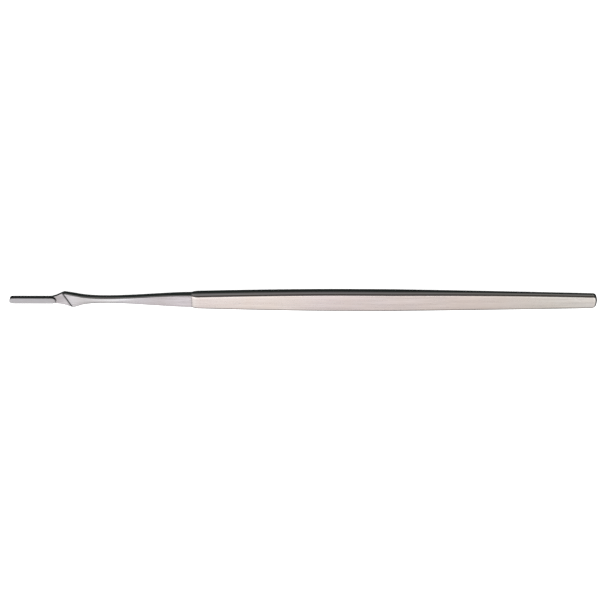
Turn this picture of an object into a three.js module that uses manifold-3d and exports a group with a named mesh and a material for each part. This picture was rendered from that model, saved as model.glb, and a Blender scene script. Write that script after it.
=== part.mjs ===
/**
 * Long handle for removable surgical blades, in stainless steel.
 *
 * X runs along the handle towards the blade, Y runs across its wide faces and Z is up, out of the wide face
 * that carries the stud. The origin is on the surface that the handle lies on, halfway along it. Each piece
 * is drawn around the seam: x = 0 is the plane where the neck meets the grip, z = 0 the handle's mid-plane.
 */
import * as THREE from 'three';
import { mergeVertices } from 'three/addons/utils/BufferGeometryUtils.js';
import Module from 'manifold-3d';

const wasm = await Module();
wasm.setup();

// Grip, in millimetres
const GRIP_LENGTH = 144.7;
const GRIP_FRONT_WIDTH = 6.2;
const GRIP_WIDEST = 8.4;
const GRIP_WIDEST_AT = 52.7; // behind the seam
const GRIP_BUTT_WIDTH = 6.1;
const GRIP_BUTT_ROUND = 1.8; // how far in front of its end the butt starts to round off
const GRIP_THICKNESS = 3.6;
const GRIP_TAPER_AT = 71.7; // behind the seam, where the grip starts to get thinner
const GRIP_BUTT_THICKNESS = 2.2;
const GRIP_BEVEL = 0.44; // leg of the bevel between each wide face and the narrow sides
const GRIP_CROWN = 0.06; // how far the narrow sides bulge between their bevels
const NOSE_LENGTH = 1.5; // the grip swells to its full section over this length
const NOSE_DROP = 0.5; // how far the front edge is below the wide face
const NOSE_TUCK = 0.32; // how far the front edge is inside the narrow side
const FRONT_CURVE = 1.6; // powers of the grip's outline from its widest place to its front
const BUTT_CURVE = 2.1; // and to its butt
const TAPER_CURVE = 1.8; // and of its thickness

// Blade stud
const STUD_LENGTH = 16.5;
const STUD_WIDTH = 2.56;
const STUD_HEIGHT = 0.65;
const GROOVE_HEIGHT = 0.4; // takes the thickness of a blade
const GROOVE_DEPTH = 0.36;
const LIP_ROUNDING = 0.07;

// Tang, the flat plate under the blade
const TIP_INSET = 0.08; // from the stud's tip back to the tang's
const TANG_WIDTH = 2.4;
const TANG_THICKNESS = 0.97;
const TANG_LIFT = 0.46; // how far its underside is above the neck's
const FLARE_LENGTH = 2.0; // it starts to widen this far in front of the stud's end
const FLARE_WIDTH = 3.45; // its width at the stud's end

// Shoulder, a skewed diamond in plan whose front wall stops the blade's heel. It and the neck's waist are
// placed by their distance behind the stud's end.
const SHOULDER_WIDTH = 6.7;
const NEAR_CORNER_AT = 3.6; // on the -Y side
const FAR_CORNER_AT = 6.1; // on the +Y side
const FLANK_FOOT_AT = 11.7; // where the flanks, made straight, would meet the waist
const FLANK_STRAIGHT = 0.55; // the straight share of each flank
const WALL_NEAR_AT = 2.9; // where the wall starts on the -Y side
const WALL_LEAN = 0.2; // how far the wall leans back over its height
const RAMP_LENGTH = 5.5; // the underside comes down from the tang's to the neck's over this

// Control points of the curve from each corner to the tang at the stud's end: how far behind that end, and
// their share of the way from the tang's half width there to the shoulder's
const NEAR_FLARE = [[2.4, 0.97], [0.8, 0.05]];
const FAR_FLARE = [[4.8, 0.9], [3.2, 0]];

// Neck
const HOLDER_LENGTH = 65.3; // from the seam to the tang's tip
const NECK_THICKNESS = 1.95;
const NECK_SEAM_WIDTH = 5.5;
const NECK_ROUNDING = 0.2;
const WAIST_WIDTH = 2.3;
const WAIST_AT = 18.1;

// Brazed joint between the neck and the grip
const TENON_LENGTH = 12;
const TENON_WIDTH = 3.2;
const TENON_THICKNESS = 1.5;
const BRAZE_GAP = 0.1; // around the tenon
const SOCKET_SPARE = 0.5; // past the tenon's end

// Fineness of the faceted surfaces
const STATION_STEP = 4;
const NOSE_STEPS = 4;
const CURVE_STEPS = 8;
const ROUNDING_STEPS = 2;

const CUT_PAST = 1; // how far a cutting body reaches past what it cuts

const neckTop = NECK_THICKNESS / 2;
const tangBottom = TANG_LIFT - neckTop;
const tangTop = tangBottom + TANG_THICKNESS;
const behindStud = (distance) => HOLDER_LENGTH - STUD_LENGTH - distance;

/** Evenly spaced numbers from start to end, both included. */
function spaced(start, end, steps) {
  return Array.from({ length: steps + 1 }, (_, i) => start + ((end - start) * i) / steps);
}

/** The geometry as a manifold-3d solid. */
function toSolid(geometry) {
  const bare = geometry.clone();
  bare.deleteAttribute('normal');
  bare.deleteAttribute('uv');
  const merged = mergeVertices(bare);
  const vertProperties = new Float32Array(merged.getAttribute('position').array);
  const triVerts = new Uint32Array(merged.getIndex().array);
  return new wasm.Manifold(new wasm.Mesh({ numProp: 3, vertProperties, triVerts }));
}

/** A manifold-3d solid as a geometry with flat faces. */
function toGeometry(solid) {
  const { vertProperties, triVerts } = solid.getMesh();
  const shared = new THREE.BufferGeometry();
  shared.setAttribute('position', new THREE.BufferAttribute(vertProperties, 3));
  shared.setIndex(new THREE.BufferAttribute(triVerts, 1));
  const geometry = shared.toNonIndexed();
  geometry.computeVertexNormals();
  return geometry;
}

/**
 * A closed bar made of stacked rings of equal length, from the lowest to the highest. In each ring, points
 * i and n - 1 - i face one another across the bar, and the middle one closes its end, so that its wide
 * faces are strips across it and one triangle.
 */
function stackedBar(rings) {
  const count = rings[0].length;
  const top = (rings.length - 1) * count;
  const index = [];
  for (let ring = 0; ring < top; ring += count) {
    for (let i = 0; i < count; i++) {
      const [a, b] = [ring + i, ring + ((i + 1) % count)];
      index.push(a, b, b + count, a, b + count, a + count);
    }
  }
  for (let a = 0; a < (count - 1) / 2; a++) {
    const [b, c, d] = [a + 1, count - 2 - a, count - 1 - a];
    index.push(a, d, c, top + a, top + c, top + d);
    if (b !== c) index.push(a, c, b, top + a, top + b, top + c);
  }
  const geometry = new THREE.BufferGeometry().setFromPoints(rings.flat());
  geometry.setIndex(index);
  return geometry;
}

/** How much of its full section the grip has at x: none at the seam, all of it past the nose. */
function noseSwell(x) {
  const left = Math.max(0, 1 + x / NOSE_LENGTH);
  return Math.sqrt(1 - left * left);
}

/** The grip's half width at x. */
function gripHalfWidth(x) {
  const behind = -x - GRIP_WIDEST_AT;
  const buttReach = GRIP_LENGTH - GRIP_BUTT_ROUND - GRIP_WIDEST_AT;
  const share = behind < 0 ? -behind / GRIP_WIDEST_AT : behind / buttReach;
  const endWidth = behind < 0 ? GRIP_FRONT_WIDTH : GRIP_BUTT_WIDTH;
  const curve = behind < 0 ? FRONT_CURVE : BUTT_CURVE;
  const width = GRIP_WIDEST - (GRIP_WIDEST - endWidth) * share ** curve;
  return width / 2 - NOSE_TUCK * (1 - noseSwell(x));
}

/** The grip's half thickness at x. */
function gripHalfThickness(x) {
  const share = THREE.MathUtils.clamp((-x - GRIP_TAPER_AT) / (GRIP_LENGTH - GRIP_TAPER_AT), 0, 1);
  const thinned = (GRIP_THICKNESS - GRIP_BUTT_THICKNESS) * (1 - (1 - share) ** TAPER_CURVE);
  return (GRIP_THICKNESS - thinned) / 2 - NOSE_DROP * (1 - noseSwell(x));
}

/** One ring of the grip, drawn in from its outline by inset, at its height over the mid-plane at each x. */
function gripRing(inset, heightAt) {
  const arcAt = GRIP_BUTT_ROUND - GRIP_LENGTH;
  const steps = Math.round((-arcAt - NOSE_LENGTH) / STATION_STEP);
  const stations = [...spaced(0, -NOSE_LENGTH, NOSE_STEPS), ...spaced(-NOSE_LENGTH, arcAt, steps).slice(1)];
  const side = stations.map((x) => new THREE.Vector3(x, gripHalfWidth(x) - inset, heightAt(x)));
  for (const angle of spaced(0, Math.PI / 2, CURVE_STEPS).slice(1, -1)) {
    const x = arcAt - (GRIP_BUTT_ROUND - inset) * Math.sin(angle);
    side.push(new THREE.Vector3(x, (GRIP_BUTT_WIDTH / 2 - inset) * Math.cos(angle), heightAt(x)));
  }
  const butt = inset - GRIP_LENGTH;
  const mirrored = side.toReversed().map(({ x, y, z }) => new THREE.Vector3(x, -y, z));
  return [...side, new THREE.Vector3(butt, 0, heightAt(butt)), ...mirrored];
}

/** The grip, a bevelled bar with crowned sides, a round butt and a blind socket in its front. */
function gripGeometry() {
  const rimAt = (x) => gripHalfThickness(x) - GRIP_BEVEL;
  const bar = stackedBar([
    gripRing(GRIP_CROWN + GRIP_BEVEL, (x) => -gripHalfThickness(x)),
    gripRing(GRIP_CROWN, (x) => -rimAt(x)),
    gripRing(0, () => 0),
    gripRing(GRIP_CROWN, rimAt),
    gripRing(GRIP_CROWN + GRIP_BEVEL, gripHalfThickness),
  ]);
  const depth = TENON_LENGTH + SOCKET_SPARE;
  const socket = new THREE.BoxGeometry(
    depth + CUT_PAST,
    TENON_WIDTH + 2 * BRAZE_GAP,
    TENON_THICKNESS + 2 * BRAZE_GAP,
  ).translate((CUT_PAST - depth) / 2, 0, 0);
  return toGeometry(toSolid(bar).subtract(toSolid(socket)));
}

/** One long edge of the holder's plan, from the seam to where its tang becomes straight. */
function holderEdge(side, cornerAt, flareControls) {
  const halves = [NECK_SEAM_WIDTH, WAIST_WIDTH, SHOULDER_WIDTH, FLARE_WIDTH, TANG_WIDTH];
  const [seamY, waistY, cornerY, flareY, tangY] = halves.map((width) => (side * width) / 2);
  const [waistX, flareX] = [behindStud(WAIST_AT), behindStud(0)];
  const corner = new THREE.Vector2(behindStud(cornerAt), cornerY);
  const foot = new THREE.Vector2(behindStud(FLANK_FOOT_AT), waistY);
  const flank = corner.clone().lerp(foot, FLANK_STRAIGHT);
  const [outer, inner] = flareControls.map(([behind, share]) => [
    behindStud(behind),
    THREE.MathUtils.lerp(flareY, cornerY, share),
  ]);
  const edge = new THREE.Path();
  edge.moveTo(0, seamY);
  edge.bezierCurveTo(waistX / 3, seamY, (2 * waistX) / 3, waistY, waistX, waistY);
  edge.quadraticCurveTo(foot.x, foot.y, flank.x, flank.y);
  edge.lineTo(corner.x, corner.y);
  edge.bezierCurveTo(...outer, ...inner, flareX, flareY);
  edge.quadraticCurveTo(flareX + FLARE_LENGTH / 2, tangY, flareX + FLARE_LENGTH, tangY);
  return edge.getPoints(CURVE_STEPS);
}

/** A plan or side outline thickened between two levels of Z, with its edges rounded if asked. */
function thickened(shape, bottom, top, rounding = 0) {
  return new THREE.ExtrudeGeometry(shape, {
    depth: top - bottom - 2 * rounding,
    bevelEnabled: rounding > 0,
    bevelThickness: rounding,
    bevelSize: rounding,
    bevelOffset: -rounding,
    bevelSegments: ROUNDING_STEPS,
    curveSegments: CURVE_STEPS,
  }).translate(0, 0, bottom + rounding);
}

/** The holder's plan as one block as thick as the neck, run on behind the seam. */
function holderBlock() {
  const shape = new THREE.Shape([
    new THREE.Vector2(-CUT_PAST, -NECK_SEAM_WIDTH / 2),
    ...holderEdge(-1, NEAR_CORNER_AT, NEAR_FLARE),
  ]);
  const tipRadius = TANG_WIDTH / 2;
  shape.absarc(HOLDER_LENGTH - TIP_INSET - tipRadius, 0, tipRadius, -Math.PI / 2, Math.PI / 2);
  for (const { x, y } of holderEdge(1, FAR_CORNER_AT, FAR_FLARE).toReversed()) shape.lineTo(x, y);
  shape.lineTo(-CUT_PAST, NECK_SEAM_WIDTH / 2);
  return thickened(shape, -neckTop, neckTop, NECK_ROUNDING);
}

/** What is cut away over the tang, in front of the shoulder's slanting and leaning wall. */
function overTang() {
  const reach = 2 * HOLDER_LENGTH;
  const top = neckTop + CUT_PAST;
  const lean = (WALL_LEAN * (top - tangTop)) / (neckTop - tangTop);
  const profile = new THREE.Shape([
    new THREE.Vector2(0, tangTop),
    new THREE.Vector2(reach, tangTop),
    new THREE.Vector2(reach, top),
    new THREE.Vector2(-lean, top),
  ]);
  const slant = Math.atan2(FAR_CORNER_AT - WALL_NEAR_AT, SHOULDER_WIDTH);
  const along = 4 * SHOULDER_WIDTH;
  return thickened(profile, -along / 2, along / 2)
    .rotateX(Math.PI / 2)
    .rotateZ(slant)
    .translate(behindStud((FAR_CORNER_AT + WALL_NEAR_AT) / 2), 0, 0);
}

/** What is cut away under the tang and under the ramp behind it. */
function underTang() {
  const rampAt = behindStud(WALL_NEAR_AT);
  const slope = TANG_LIFT / RAMP_LENGTH;
  const profile = new THREE.Shape([
    new THREE.Vector2(HOLDER_LENGTH + CUT_PAST, tangBottom),
    new THREE.Vector2(rampAt, tangBottom),
    new THREE.Vector2(rampAt - RAMP_LENGTH - CUT_PAST, -neckTop - slope * CUT_PAST),
    new THREE.Vector2(HOLDER_LENGTH + CUT_PAST, -neckTop - slope * CUT_PAST),
  ]);
  return thickened(profile, -SHOULDER_WIDTH, SHOULDER_WIDTH).rotateX(Math.PI / 2);
}

/** The blade holder: tang, shoulder and neck in one, with the tenon that the grip hides. */
function holderGeometry() {
  const behindSeam = new THREE.BoxGeometry(2 * CUT_PAST, 2 * NECK_SEAM_WIDTH, 2 * NECK_THICKNESS);
  const tenon = new THREE.BoxGeometry(TENON_LENGTH + CUT_PAST, TENON_WIDTH, TENON_THICKNESS);
  const holder = toSolid(holderBlock())
    .subtract(toSolid(overTang()))
    .subtract(toSolid(underTang()))
    .subtract(toSolid(behindSeam.translate(-CUT_PAST, 0, 0)))
    .add(toSolid(tenon.translate((CUT_PAST - TENON_LENGTH) / 2, 0, 0)));
  return toGeometry(holder);
}

/** A plan with straight sides and round ends, centred on the origin. */
function oblong(length, width) {
  const [radius, centre] = [width / 2, (length - width) / 2];
  const shape = new THREE.Shape();
  shape.absarc(centre, 0, radius, -Math.PI / 2, Math.PI / 2);
  shape.absarc(-centre, 0, radius, Math.PI / 2, 1.5 * Math.PI);
  return shape;
}

/** The stud: a foot as high as the groove, under a wider lip. It stands on z = 0. */
function studGeometry() {
  const foot = oblong(STUD_LENGTH - 2 * GROOVE_DEPTH, STUD_WIDTH - 2 * GROOVE_DEPTH);
  const lip = thickened(oblong(STUD_LENGTH, STUD_WIDTH), GROOVE_HEIGHT, STUD_HEIGHT, LIP_ROUNDING);
  const middle = (GROOVE_HEIGHT + STUD_HEIGHT) / 2;
  return toGeometry(toSolid(thickened(foot, 0, middle)).add(toSolid(lip)));
}

/** A named mesh in steel of the given finish. */
function steelPiece(name, geometry, color, roughness) {
  const material = new THREE.MeshStandardMaterial({ color, roughness, metalness: 1 });
  const piece = new THREE.Mesh(geometry, material);
  piece.name = name;
  return piece;
}

const grip = steelPiece('grip', gripGeometry(), 0xd8cfcb, 0.28);
const bladeHolder = steelPiece('blade_holder', holderGeometry(), 0xcdc5c7, 0.36);
const bladeStud = steelPiece('blade_stud', studGeometry(), 0xc4bfbf, 0.34);
bladeStud.position.set(HOLDER_LENGTH - STUD_LENGTH / 2, 0, tangTop);

const handle = new THREE.Group();
handle.add(grip, bladeHolder, bladeStud);
handle.position.set((GRIP_LENGTH - HOLDER_LENGTH) / 2, 0, GRIP_THICKNESS / 2);

const model = new THREE.Group();
model.add(handle);

export default model;
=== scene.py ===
"""Looks of the long handle for removable surgical blades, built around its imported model.

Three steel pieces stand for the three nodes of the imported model: the grip, the blade holder and the blade
stud. Sizes in the classes are in millimetres, drawn around the seam where the neck meets the grip: x = 0 is
the seam, with the blade's end at +x, and z = 0 is the handle's mid-plane.
"""

import logging
import math
from collections.abc import Callable, Sequence
from dataclasses import dataclass, field, fields
from enum import Enum
from typing import ClassVar

import bmesh
import bpy
from mathutils import Matrix, Vector

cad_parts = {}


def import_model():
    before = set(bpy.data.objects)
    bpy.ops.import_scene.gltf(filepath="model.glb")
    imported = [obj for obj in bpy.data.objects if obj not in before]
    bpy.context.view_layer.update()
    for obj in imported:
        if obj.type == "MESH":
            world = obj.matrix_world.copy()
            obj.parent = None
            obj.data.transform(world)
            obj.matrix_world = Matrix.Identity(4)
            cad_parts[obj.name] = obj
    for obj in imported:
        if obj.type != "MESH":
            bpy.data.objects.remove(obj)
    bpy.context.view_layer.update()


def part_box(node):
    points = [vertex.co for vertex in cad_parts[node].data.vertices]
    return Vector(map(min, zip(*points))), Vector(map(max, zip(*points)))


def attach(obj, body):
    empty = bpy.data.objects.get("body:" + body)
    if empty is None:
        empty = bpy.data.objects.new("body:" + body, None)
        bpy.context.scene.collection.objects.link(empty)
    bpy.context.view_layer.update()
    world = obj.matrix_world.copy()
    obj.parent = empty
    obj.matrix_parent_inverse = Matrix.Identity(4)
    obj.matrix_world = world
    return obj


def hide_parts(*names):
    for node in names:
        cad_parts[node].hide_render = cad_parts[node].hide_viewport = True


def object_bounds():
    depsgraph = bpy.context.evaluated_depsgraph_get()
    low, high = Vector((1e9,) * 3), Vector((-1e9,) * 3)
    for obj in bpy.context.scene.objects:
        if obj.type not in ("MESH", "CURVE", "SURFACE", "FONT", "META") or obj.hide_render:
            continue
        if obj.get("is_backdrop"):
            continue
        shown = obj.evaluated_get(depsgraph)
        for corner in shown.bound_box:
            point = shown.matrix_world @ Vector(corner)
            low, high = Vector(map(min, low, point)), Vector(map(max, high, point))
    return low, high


MM = 0.001
QUARTER_TURN = math.pi / 2
WELD = 1e-6
# the point attribute that says where painted shade darkens the steel, deep in the crevices
CREVICE_SHADE = "crevice"
GRIND_CONTRAST = 2.4
SCRATCHES_PER_STREAK = 2.0
STREAK_SHARE = 0.6  # the rest of the shade comes from the scratches
GREEN_SHARE = 0.4  # how much of the warm cast green takes, beside blue
HAZE_CONTRAST = 2.2
HAZE_PATCH = 6.0  # millimetres
SPECKS_PER_PATCH = 6.0
SPECK_SHARPNESS = 9.0
SPECK_DEPTH = 0.6  # as a share of the finish's relief
DENT_DEPTH = 26.0  # also as a share of it
SOCKET_ROWS = 3

Colour = tuple[float, float, float]
Point = tuple[float, float, float]
log = logging.getLogger("blade_handle")


class Graph:
    """A node tree being filled: it adds nodes and links what feeds them."""

    def __init__(self, tree: bpy.types.NodeTree) -> None:
        """Starts on a tree.

        Args:
            tree: The shader or geometry node tree to fill.
        """
        self.tree = tree

    def add(self, kind: str, feeds: dict | None = None, **settings: object) -> bpy.types.Node:
        """Adds one node.

        Args:
            kind: The node's type.
            feeds: What each input takes, by the input's name or place: a socket, a Field or a plain value.
            **settings: Properties of the node.

        Returns:
            The new node.
        """
        node = self.tree.nodes.new(kind)
        for name, value in settings.items():
            setattr(node, name, value)
        for key, value in (feeds or {}).items():
            source = value.socket if isinstance(value, Field) else value
            if isinstance(source, bpy.types.NodeSocket):
                self.tree.links.new(source, node.inputs[key])
            else:
                node.inputs[key].default_value = source
        return node

    def math(self, operation: str, *values: "Field | float", clamp: bool = False) -> "Field":
        """Adds a Math node.

        Args:
            operation: Its operation.
            *values: Its inputs, in order.
            clamp: Whether the result is kept between 0 and 1.

        Returns:
            Its result.
        """
        feeds = dict(enumerate(values))
        node = self.add("ShaderNodeMath", feeds, operation=operation, use_clamp=clamp)
        return Field(self, node.outputs[0])

    def split(self, vector: object) -> tuple["Field", "Field", "Field"]:
        """Splits a vector socket into its three fields."""
        node = self.add("ShaderNodeSeparateXYZ", {0: vector})
        return tuple(Field(self, output) for output in node.outputs)

    def join(self, x: object, y: object, z: object) -> bpy.types.NodeSocket:
        """Joins three fields or numbers into a vector socket."""
        return self.add("ShaderNodeCombineXYZ", {0: x, 1: y, 2: z}).outputs[0]


@dataclass(frozen=True)
class Field:
    """A number that varies over a mesh or surface: a node socket that arithmetic extends."""

    graph: Graph
    socket: bpy.types.NodeSocket

    def __add__(self, other: "Field | float") -> "Field":
        """The sum."""
        return self.graph.math("ADD", self, other)

    def __sub__(self, other: "Field | float") -> "Field":
        """The difference."""
        return self.graph.math("SUBTRACT", self, other)

    def __rsub__(self, other: float) -> "Field":
        """The difference from a number."""
        return self.graph.math("SUBTRACT", other, self)

    def __mul__(self, other: "Field | float") -> "Field":
        """The product."""
        return self.graph.math("MULTIPLY", self, other)

    def __truediv__(self, other: "Field | float") -> "Field":
        """The quotient."""
        return self.graph.math("DIVIDE", self, other)

    def __rtruediv__(self, other: float) -> "Field":
        """A number over this field."""
        return self.graph.math("DIVIDE", other, self)

    def __pow__(self, other: "Field | float") -> "Field":
        """The power."""
        return self.graph.math("POWER", self, other)

    def __neg__(self) -> "Field":
        """The negative."""
        return self * -1.0

    def over(self, other: "Field | float") -> "Field":
        """1 where this field is the greater, and 0 elsewhere."""
        return self.graph.math("GREATER_THAN", self, other)

    def floor(self) -> "Field":
        """The whole part."""
        return self.graph.math("FLOOR", self)

    def positive(self) -> "Field":
        """This field where it is above 0, and 0 elsewhere."""
        return self.graph.math("MAXIMUM", self, 0.0)

    def between(self, start: "Field | float", length: "Field | float") -> "Field":
        """How far along a stretch this field is, from 0 before it to 1 after it."""
        return self.graph.math("DIVIDE", self - start, length, clamp=True)


def open_tree(name: str, kind: str, inputs: dict[str, str], outputs: dict[str, str]) -> tuple[Graph, dict]:
    """Makes a node group with named sockets.

    Args:
        name: The group's name.
        kind: The type of its tree.
        inputs: The socket type of each input, by name.
        outputs: The socket type of each output, by name.

    Returns:
        The group's graph, and the input sockets by name.
    """
    tree = bpy.data.node_groups.new(name, kind)
    for in_out, sockets in (("INPUT", inputs), ("OUTPUT", outputs)):
        for label, socket_type in sockets.items():
            tree.interface.new_socket(label, in_out=in_out, socket_type=socket_type)
    graph = Graph(tree)
    source = graph.add("NodeGroupInput")
    return graph, {label: source.outputs[label] for label in inputs}


class SizedRule:
    """A geometry tree whose sizes are named inputs, run once on an object and then removed."""

    def __init__(self, name: str, sizes: dict[str, float], material: bpy.types.Material) -> None:
        """Opens the tree.

        Args:
            name: The tree's name.
            sizes: Its sizes in metres and its plain numbers, by name.
            material: What the finished mesh is made of.
        """
        kinds = {"Geometry": "NodeSocketGeometry"} | {label: "NodeSocketFloat" for label in sizes}
        outputs = {"Geometry": "NodeSocketGeometry"}
        self.graph, sockets = open_tree(name, "GeometryNodeTree", kinds, outputs)
        self.source = sockets.pop("Geometry")
        self.sizes = {label: Field(self.graph, socket) for label, socket in sockets.items()}
        self.values = sizes
        self.material = material

    def close(self, mesh: bpy.types.NodeSocket) -> None:
        """Welds and smooths what the rule made, and ends the tree.

        Args:
            mesh: The socket that carries the rule's mesh.
        """
        graph = self.graph
        welded = graph.add("GeometryNodeMergeByDistance", {"Geometry": mesh, "Distance": WELD})
        smooth = graph.add("GeometryNodeSetShadeSmooth", {"Geometry": welded.outputs[0]})
        real = graph.add("GeometryNodeRealizeInstances", {"Geometry": smooth.outputs[0]})
        feeds = {"Geometry": real.outputs[0], "Material": self.material}
        dressed = graph.add("GeometryNodeSetMaterial", feeds)
        graph.add("NodeGroupOutput", {"Geometry": dressed.outputs[0]})

    def run(self, obj: bpy.types.Object) -> bpy.types.Mesh:
        """Runs the rule on an object.

        Args:
            obj: An object that holds what the rule starts from.

        Returns:
            The plain mesh that comes out.
        """
        modifier = obj.modifiers.new("rule", "NODES")
        modifier.node_group = self.graph.tree
        for item in self.graph.tree.interface.items_tree:
            if item.in_out == "INPUT" and item.name in self.values:
                modifier[item.identifier] = self.values[item.name]
        evaluated = obj.evaluated_get(bpy.context.evaluated_depsgraph_get())
        mesh = bpy.data.meshes.new_from_object(evaluated)
        obj.modifiers.remove(modifier)
        mesh.materials.clear()
        mesh.materials.append(self.material)
        return mesh


class ToolMarks(Enum):
    """The marks that more than one finish shows, each a shader node group."""

    GRIND = "Lengthwise grind"
    HAZE = "Handling haze"
    DENT = "Small dent"

    def place(self, graph: Graph, feeds: dict) -> bpy.types.Node:
        """Places the group in a material.

        Args:
            graph: The material's graph.
            feeds: What each input of the group takes.

        Returns:
            The group's node.
        """
        tree = bpy.data.node_groups.get(self.value) or self.build()
        node = graph.add("ShaderNodeGroup", node_tree=tree)
        for name, value in feeds.items():
            if isinstance(value, bpy.types.NodeSocket):
                graph.tree.links.new(value, node.inputs[name])
            else:
                node.inputs[name].default_value = value
        return node

    def build(self) -> bpy.types.NodeTree:
        """Builds the group, the first time that it is placed.

        Returns:
            The group.
        """
        makers = {
            ToolMarks.GRIND: build_grind,
            ToolMarks.HAZE: build_haze,
            ToolMarks.DENT: build_dent,
        }
        return makers[self](self.value)


def contrast(graph: Graph, noise: bpy.types.Node, gain: float) -> Field:
    """Stretches a noise around its middle, and keeps it between 0 and 1."""
    return graph.math("MULTIPLY_ADD", noise.outputs[0], gain, 0.5 - gain / 2, clamp=True)


def build_grind(name: str) -> bpy.types.NodeTree:
    """Builds the streaks that a belt leaves along the handle.

    Args:
        name: The group's name.

    Returns:
        The group: broad soft streaks, and fine scratches among them.
    """
    inputs = {
        "Vector": "NodeSocketVector",
        "Streak length": "NodeSocketFloat",
        "Streak width": "NodeSocketFloat",
        "Fineness": "NodeSocketFloat",
    }
    outputs = {"Streak": "NodeSocketFloat", "Scratch": "NodeSocketFloat"}
    graph, given = open_tree(name, "ShaderNodeTree", inputs, outputs)
    x, y, z = graph.split(given["Vector"])
    length, width = Field(graph, given["Streak length"]), Field(graph, given["Streak width"])
    fineness = Field(graph, given["Fineness"])
    stretched = graph.join(x / length, y / width, z / width)
    broad = graph.add("ShaderNodeTexNoise", {"Vector": stretched, "Scale": 1.0, "Detail": 2.0})
    shorter = x * SCRATCHES_PER_STREAK / length
    finer = graph.join(shorter, y * fineness / width, z * fineness / width)
    fine = graph.add("ShaderNodeTexNoise", {"Vector": finer, "Scale": 1.0, "Detail": 3.0, "Roughness": 0.6})
    marks = {"Streak": broad, "Scratch": fine}
    feeds = {label: contrast(graph, noise, GRIND_CONTRAST) for label, noise in marks.items()}
    graph.add("NodeGroupOutput", feeds)
    return graph.tree


def build_haze(name: str) -> bpy.types.NodeTree:
    """Builds the faint cloudy patches that handling leaves.

    Args:
        name: The group's name.

    Returns:
        The group: a soft patchy mask, and a speckled one.
    """
    inputs = {"Vector": "NodeSocketVector", "Patch size": "NodeSocketFloat"}
    outputs = {"Haze": "NodeSocketFloat", "Speck": "NodeSocketFloat"}
    graph, given = open_tree(name, "ShaderNodeTree", inputs, outputs)
    scale = 1.0 / Field(graph, given["Patch size"])
    patch = graph.add("ShaderNodeTexNoise", {"Vector": given["Vector"], "Scale": scale, "Detail": 2.0})
    feeds = {"Vector": given["Vector"], "Scale": scale * SPECKS_PER_PATCH}
    dots = graph.add("ShaderNodeTexVoronoi", feeds)
    speck = graph.math("MULTIPLY_ADD", dots.outputs["Distance"], -SPECK_SHARPNESS, 1.0, clamp=True)
    haze = contrast(graph, patch, HAZE_CONTRAST)
    graph.add("NodeGroupOutput", {"Haze": haze, "Speck": speck})
    return graph.tree


def build_dent(name: str) -> bpy.types.NodeTree:
    """Builds one small knock in a surface.

    Args:
        name: The group's name.

    Returns:
        The group: a mask that is 1 in the middle of the dent and 0 outside it.
    """
    inputs = {
        "Vector": "NodeSocketVector",
        "Centre": "NodeSocketVector",
        "Radius": "NodeSocketFloat",
    }
    graph, given = open_tree(name, "ShaderNodeTree", inputs, {"Dent": "NodeSocketFloat"})
    feeds = {0: given["Vector"], 1: given["Centre"]}
    apart = graph.add("ShaderNodeVectorMath", feeds, operation="DISTANCE")
    share = Field(graph, apart.outputs["Value"]) / Field(graph, given["Radius"])
    graph.add("NodeGroupOutput", {"Dent": graph.math("SUBTRACT", 1.0, share, clamp=True)})
    return graph.tree


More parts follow.
